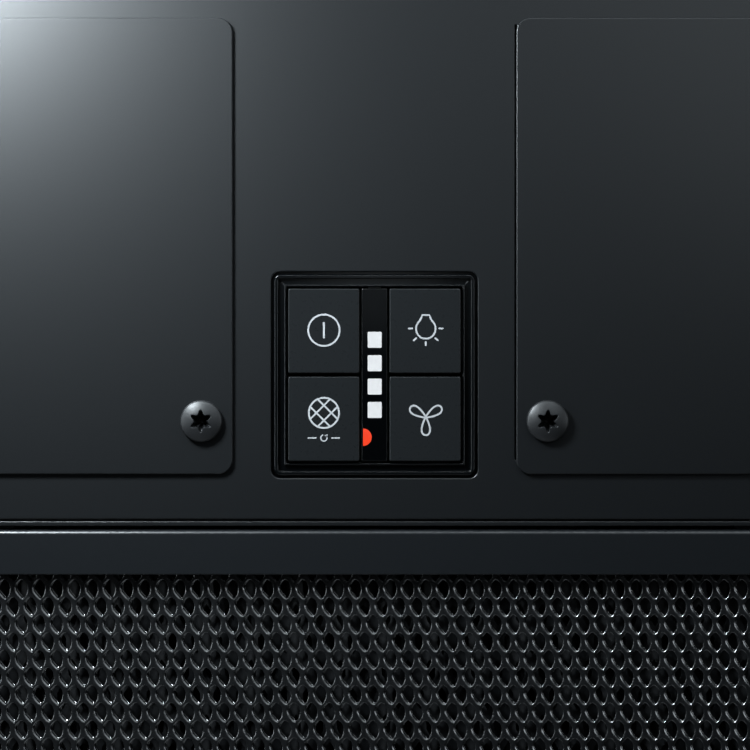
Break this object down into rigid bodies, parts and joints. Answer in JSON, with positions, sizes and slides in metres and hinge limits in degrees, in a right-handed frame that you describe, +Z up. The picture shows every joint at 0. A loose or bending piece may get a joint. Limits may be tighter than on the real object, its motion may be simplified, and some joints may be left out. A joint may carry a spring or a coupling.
{
  "type": "ceiling range hood",
  "caption": "Ceiling range hood with a black steel underside, push-key module, screwed access covers, tip-down mesh grease filters, strip lamps and a duct collar on top.",
  "frame": {"origin": "centre of the four hanger holes, on the upper face of the hanger plates", "axes": "+X to the right of a person facing the hood's front, -Y towards that person, +Z up"},
  "size_m": [0.9, 0.5, 0.3495],
  "materials": {
    "black_coat": "satin black powder coat with a fine grain",
    "black_screw": "satin black plated steel",
    "zinc_steel": "zinc plated",
    "bezel_plastic": "semi-gloss black moulding",
    "black_plastic": "matte black moulding",
    "key_plastic": "matte charcoal keys with pale printed symbols",
    "window_gloss": "gloss black",
    "white_light": "lit white light pipe",
    "orange_light": "lit orange-red light pipe",
    "white_diffuser": "white",
    "circuit_board": "green solder mask",
    "led_board": "white coated board",
    "lamp_diffuser": "frosted white diffuser",
    "galvanised": "galvanised sheet with a faint spangle",
    "galvanised_thick": "galvanised plate",
    "flap_aluminium": "plain",
    "filter_band": "dark satin coated steel",
    "filter_mesh": "dark grey expanded metal",
    "motor_case": "painted grey",
    "capacitor_can": "plain can",
    "grey_plastic": "light grey moulding",
    "ivory_plastic": "ivory moulding",
    "grommet_rubber": "black rubber",
    "cable_sheath": "pale grey sheath"
  },
  "bodies": {
    "casing": {"access_cover_left": "black_coat", "access_cover_right": "black_coat", "blower_box": "galvanised", "blower_inlet_rings": "black_plastic", "blower_scroll_left": "black_plastic", "blower_scroll_right": "black_plastic", "board_leds": "white_diffuser", "cable_gland": "grey_plastic", "cable_grommet": "grommet_rubber", "canopy_frame": "black_coat", "casing_screws": "zinc_steel", "connection_box": "grey_plastic", "connection_box_cover": "grey_plastic", "connection_box_screws": "zinc_steel", "control_lead": "cable_sheath", "control_strip": "black_coat", "cover_screw_bushes": "zinc_steel", "cover_screws": "black_screw", "damper_rod": "zinc_steel", "duct_collar": "galvanised", "filter_indicator": "orange_light", "hanger_plates": "galvanised_thick", "indicator_strip": "window_gloss", "key_bezel": "bezel_plastic", "key_board": "circuit_board", "key_housing": "black_plastic", "key_switches": "black_plastic", "lamp_housings": "black_plastic", "lamp_led_boards": "led_board", "lamp_lenses": "lamp_diffuser", "motor": "motor_case", "motor_bracket": "galvanised", "plenum_casing": "galvanised", "power_board": "circuit_board", "run_capacitor": "capacitor_can", "speed_segments": "white_light", "strip_nuts": "zinc_steel", "supply_leads": "cable_sheath", "terminal_block": "ivory_plastic"},
    "power_key": {"key_power": "key_plastic"},
    "light_key": {"key_light": "key_plastic"},
    "reset_key": {"key_reset": "key_plastic"},
    "fan_key": {"key_fan": "key_plastic"},
    "wheel": {"blower_wheel": "galvanised", "wheel_blades": "galvanised", "motor_shaft": "zinc_steel"},
    "flap_left": {"damper_flap_left": "flap_aluminium"},
    "flap_right": {"damper_flap_right": "flap_aluminium"},
    "filter_left": {"filter_left_frame": "filter_band", "filter_left_mesh": "filter_mesh", "filter_left_pad": "filter_mesh"},
    "latch_left": {"filter_left_latch": "black_plastic"},
    "filter_centre": {"filter_centre_frame": "filter_band", "filter_centre_mesh": "filter_mesh", "filter_centre_pad": "filter_mesh"},
    "latch_centre": {"filter_centre_latch": "black_plastic"},
    "filter_right": {"filter_right_frame": "filter_band", "filter_right_mesh": "filter_mesh", "filter_right_pad": "filter_mesh"},
    "latch_right": {"filter_right_latch": "black_plastic"}
  },
  "joints": [
    {"name": "power_key_press", "type": "slide", "parent": "casing", "child": "power_key", "axis": [0, 0, 1], "range_m": [0, 0.0008], "stiffness_N_per_m": 600, "springref_m": -0.001},
    {"name": "light_key_press", "type": "slide", "parent": "casing", "child": "light_key", "axis": [0, 0, 1], "range_m": [0, 0.0008], "stiffness_N_per_m": 600, "springref_m": -0.001},
    {"name": "reset_key_press", "type": "slide", "parent": "casing", "child": "reset_key", "axis": [0, 0, 1], "range_m": [0, 0.0008], "stiffness_N_per_m": 600, "springref_m": -0.001},
    {"name": "fan_key_press", "type": "slide", "parent": "casing", "child": "fan_key", "axis": [0, 0, 1], "range_m": [0, 0.0008], "stiffness_N_per_m": 600, "springref_m": -0.001},
    {"name": "filter_left_tip", "type": "hinge", "parent": "casing", "child": "filter_left", "pos_m": [-0.2743, -0.10935, -0.1308], "axis": [-1, 0, 0], "range_deg": [0, 30]},
    {"name": "filter_centre_tip", "type": "hinge", "parent": "casing", "child": "filter_centre", "pos_m": [0, -0.10935, -0.1308], "axis": [-1, 0, 0], "range_deg": [0, 30]},
    {"name": "filter_right_tip", "type": "hinge", "parent": "casing", "child": "filter_right", "pos_m": [0.2743, -0.10935, -0.1308], "axis": [-1, 0, 0], "range_deg": [0, 30]},
    {"name": "latch_left_slide", "type": "slide", "parent": "filter_left", "child": "latch_left", "axis": [0, -1, 0], "range_m": [0, 0.006], "stiffness_N_per_m": 800, "springref_m": -0.003},
    {"name": "latch_centre_slide", "type": "slide", "parent": "filter_centre", "child": "latch_centre", "axis": [0, -1, 0], "range_m": [0, 0.006], "stiffness_N_per_m": 800, "springref_m": -0.003},
    {"name": "latch_right_slide", "type": "slide", "parent": "filter_right", "child": "latch_right", "axis": [0, -1, 0], "range_m": [0, 0.006], "stiffness_N_per_m": 800, "springref_m": -0.003},
    {"name": "wheel_spin", "type": "hinge", "parent": "casing", "child": "wheel", "pos_m": [0, 0.058, 0.03], "axis": [1, 0, 0], "continuous": true},
    {"name": "flap_left_swing", "type": "hinge", "parent": "casing", "child": "flap_left", "pos_m": [0, -0.014, 0.184], "axis": [0, 1, 0], "range_deg": [0, 75]},
    {"name": "flap_right_swing", "type": "hinge", "parent": "casing", "child": "flap_right", "pos_m": [0, -0.014, 0.184], "axis": [0, -1, 0], "range_deg": [0, 75]}
  ]
}
